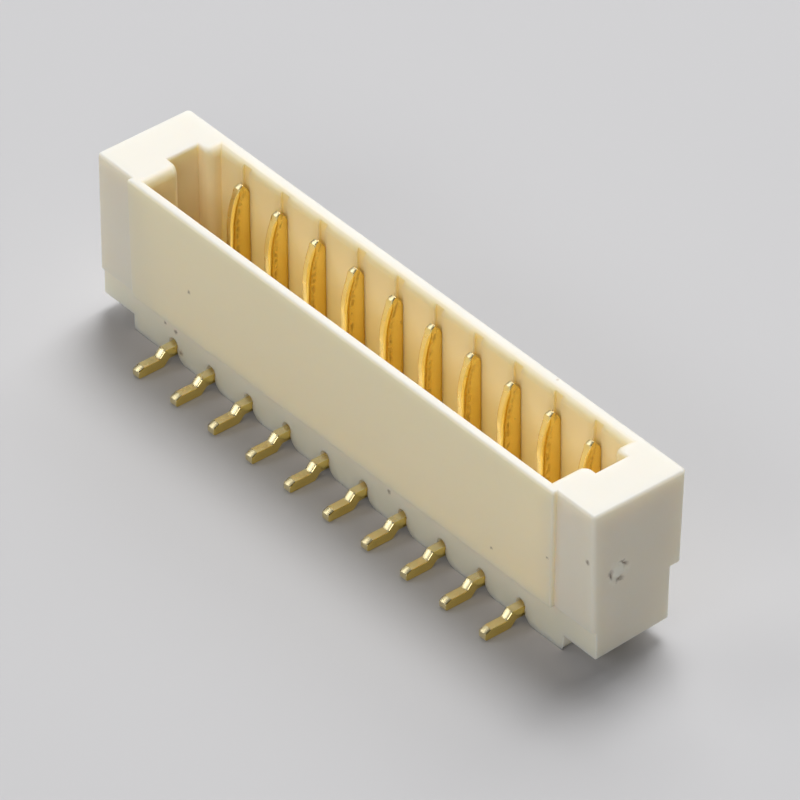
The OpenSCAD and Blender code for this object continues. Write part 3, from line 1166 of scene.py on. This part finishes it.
def dark_gate_ring(tree, place, around):
    """The broken dark ring near the gate recess's edge, as a share."""
    torn = ragged_place(tree, place, COARSE_RAGS, GATE_RAGGED)
    off_ring = math_node(tree, "SUBTRACT", distance_to(tree, torn, GATE_MIDDLE), GATE_DARK_RING * MM)
    ring = fading(tree, math_node(tree, "ABSOLUTE", off_ring), GATE_DARK_WIDTH * MM)
    dark_stretches = math_node(tree, "MULTIPLY", ring, spots(tree, around, GATE_DARK_STRETCHES))
    return math_node(tree, "MULTIPLY", dark_stretches, GATE_DARK_STRENGTH, clamp=True)


speck = place_group(tree, specks_group, place, Scale=2300.0, Share=0.006, Size=0.09)
scorched = math_node(tree, "MULTIPLY", speck, SPECK_STRENGTH, clamp=True)
torn_place = ragged_place(tree, place, FINE_RAGS, GATE_RAGGED)
whitened = math_node(tree, "MULTIPLY", spots(tree, torn_place, WHITENED), TORN_STRENGTH, clamp=True)
around = ragged_place(tree, place, FINE_RAGS, DIRT_RAGGED)
dark_marks = math_node(tree, "MAXIMUM", spots(tree, around, DIRT), dark_gate_ring(tree, place, around))
for share, mark_colour in ((scorched, SPECK_BROWN), (whitened, TORN_IVORY), (dark_marks, DARK_MARK_BROWN)):
    colour = mix_colours(tree, share, colour, mark_colour)
print("dark marks:", len(DIRT), "and stretches of dirt at the gate:", len(GATE_DARK_STRETCHES))

# %% Surface of the nylon
NYLON_ROUGHNESS = 0.44
NYLON_SPREAD = 0.12
MOULD_BUMP = 0.3
MOULD_DEPTH = 0.002 * MM


def bump(tree, shader, height, strength, depth):
    """Feeds a height through a Bump node into a shader's normal."""
    node = put(tree, "ShaderNodeBump", {"Strength": strength, "Distance": depth})
    tree.links.new(height, node.inputs["Height"])
    tree.links.new(node.outputs[0], shader.inputs["Normal"])


grain = place_group(tree, grain_group, place, Scale=26000.0)
roughness = math_node(tree, "MULTIPLY_ADD", cloud, NYLON_SPREAD, NYLON_ROUGHNESS)
tree.links.new(colour, shader.inputs["Base Color"])
tree.links.new(roughness, shader.inputs["Roughness"])
bump(tree, shader, grain, MOULD_BUMP, MOULD_DEPTH)
housing_mesh.materials.clear()
housing_mesh.materials.append(ivory)
print("nodes of the finished nylon:", len(tree.nodes))

# %% [markdown]
# Gold plate
#
# The contacts are plated after stamping, so the gold copies what is under it: the rolled faces of
# the strip with their fine lines, and the rougher edges where the punch sheared it. Those edges are
# painted paler: partly their own sheared finish, partly a painted reflection of the pale walls and
# lamps that the coined fronts and sloped facets mirror. A row of dull stains follows the coined
# front of each blade. Each contact also differs a little from its neighbours. Ten materials could do
# that, but one is enough: it adds each contact's own place to the coordinates, so no two get the
# same marks.

# %% Start the gold
GOLD = (0.96, 0.76, 0.25)
GOLD_DEEP = (0.94, 0.71, 0.2)
# Paler gold on the edges: partly the sheared finish, partly a painted reflection of the pale walls and
# lamps
GOLD_SHEARED_AND_PAINTED_SHEEN = (0.98, 0.85, 0.5)
# How much a surface faces the strip's sides where it is still all sheared, and where all rolled
SHEARED_UNTIL = 0.36
ROLLED_FROM = 0.76

gold, tree, output = new_material("gold_plate")
shader = put(tree, "ShaderNodeBsdfPrincipled", {"Metallic": 1.0})
tree.links.new(shader.outputs[0], output.inputs["Surface"])
coordinates = put(tree, "ShaderNodeTexCoord").outputs
own_place = put(tree, "ShaderNodeObjectInfo").outputs["Location"]
shift = put(tree, "ShaderNodeVectorMath", operation="ADD")
tree.links.new(coordinates["Object"], shift.inputs[0])
tree.links.new(own_place, shift.inputs[1])
place = shift.outputs[0]

cloud = place_group(tree, clouds_group, place, Scale=2600.0, Contrast=1.5)
sideways = math_node(tree, "ABSOLUTE", split(tree, coordinates["Normal"])[0])
slope = 1 / (ROLLED_FROM - SHEARED_UNTIL)
sheared = math_node(tree, "MULTIPLY_ADD", sideways, -slope, ROLLED_FROM * slope, clamp=True)
colour = mix_colours(tree, cloud, GOLD, GOLD_DEEP)
colour = mix_colours(tree, sheared, colour, GOLD_SHEARED_AND_PAINTED_SHEEN)
print("nodes of the plain gold:", len(tree.nodes))

# %% Lay on the stains
STAIN = (0.5, 0.34, 0.09)
STAIN_STRENGTH = 0.8
STAIN_FROM_FRONT = 0.1
STAIN_HALF = 0.05

_, y, z = split(tree, coordinates["Object"])
above_nose = math_node(tree, "MAXIMUM", math_node(tree, "SUBTRACT", z, nose_z * MM), 0.0)
squared = math_node(tree, "MULTIPLY", above_nose, above_nose)
set_back = math_node(tree, "DIVIDE", squared, 2 * NOSE_R * MM)
from_front = math_node(tree, "SUBTRACT", math_node(tree, "SUBTRACT", y, blade_front * MM), set_back)
off_band = math_node(tree, "ABSOLUTE", math_node(tree, "SUBTRACT", from_front, STAIN_FROM_FRONT * MM))
band = fading(tree, off_band, STAIN_HALF * MM)
blots = place_group(tree, clouds_group, place, Scale=11000.0, Contrast=4.0)
on_blade = math_node(tree, "GREATER_THAN", z, leg_top * MM)
stained = math_node(tree, "MULTIPLY", math_node(tree, "MULTIPLY", band, blots), on_blade)
speck = place_group(tree, specks_group, place, Scale=12000.0, Share=0.015, Size=0.25)
marks = math_node(tree, "MAXIMUM", speck, math_node(tree, "MULTIPLY", stained, STAIN_STRENGTH))
colour = mix_colours(tree, marks, colour, STAIN)
print("stains lie this far from a blade's front in mm:", STAIN_FROM_FRONT)

# %% Surface of the gold
GOLD_ROUGHNESS = 0.17
GOLD_SPREAD = 0.1
SHEARED_ROUGHER = 0.06
STAIN_ROUGHER = 0.3
ROLLED_STRETCH = (1.0, 1.0, 0.04)
ROLLED_BUMP = 0.05
ROLLED_DEPTH = 0.0006 * MM

worn = math_node(tree, "MULTIPLY_ADD", cloud, GOLD_SPREAD, GOLD_ROUGHNESS)
torn_edge = math_node(tree, "MULTIPLY_ADD", sheared, SHEARED_ROUGHER, worn)
roughness = math_node(tree, "MULTIPLY_ADD", marks, STAIN_ROUGHER, torn_edge)
along_strip = put(tree, "ShaderNodeMapping", {"Scale": ROLLED_STRETCH})
tree.links.new(place, along_strip.inputs["Vector"])
lines = place_group(tree, grain_group, along_strip.outputs[0], Scale=60000.0)
rolled_lines = math_node(tree, "MULTIPLY", lines, math_node(tree, "SUBTRACT", 1.0, sheared))
tree.links.new(colour, shader.inputs["Base Color"])
tree.links.new(roughness, shader.inputs["Roughness"])
bump(tree, shader, rolled_lines, ROLLED_BUMP, ROLLED_DEPTH)
contact_mesh.materials.append(gold)
print("nodes of the finished gold:", len(tree.nodes))

# %% [markdown]
# Sizes
#
# Other parts are fitted to the frame's box, so the dressed part has to stay inside it. That could be
# judged by eye, but a number is surer: the size of the dressed part's box is printed.

# %% Write the sizes and finish
low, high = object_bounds()
print("visual box in mm:", [round(side / MM, 3) for side in high - low])
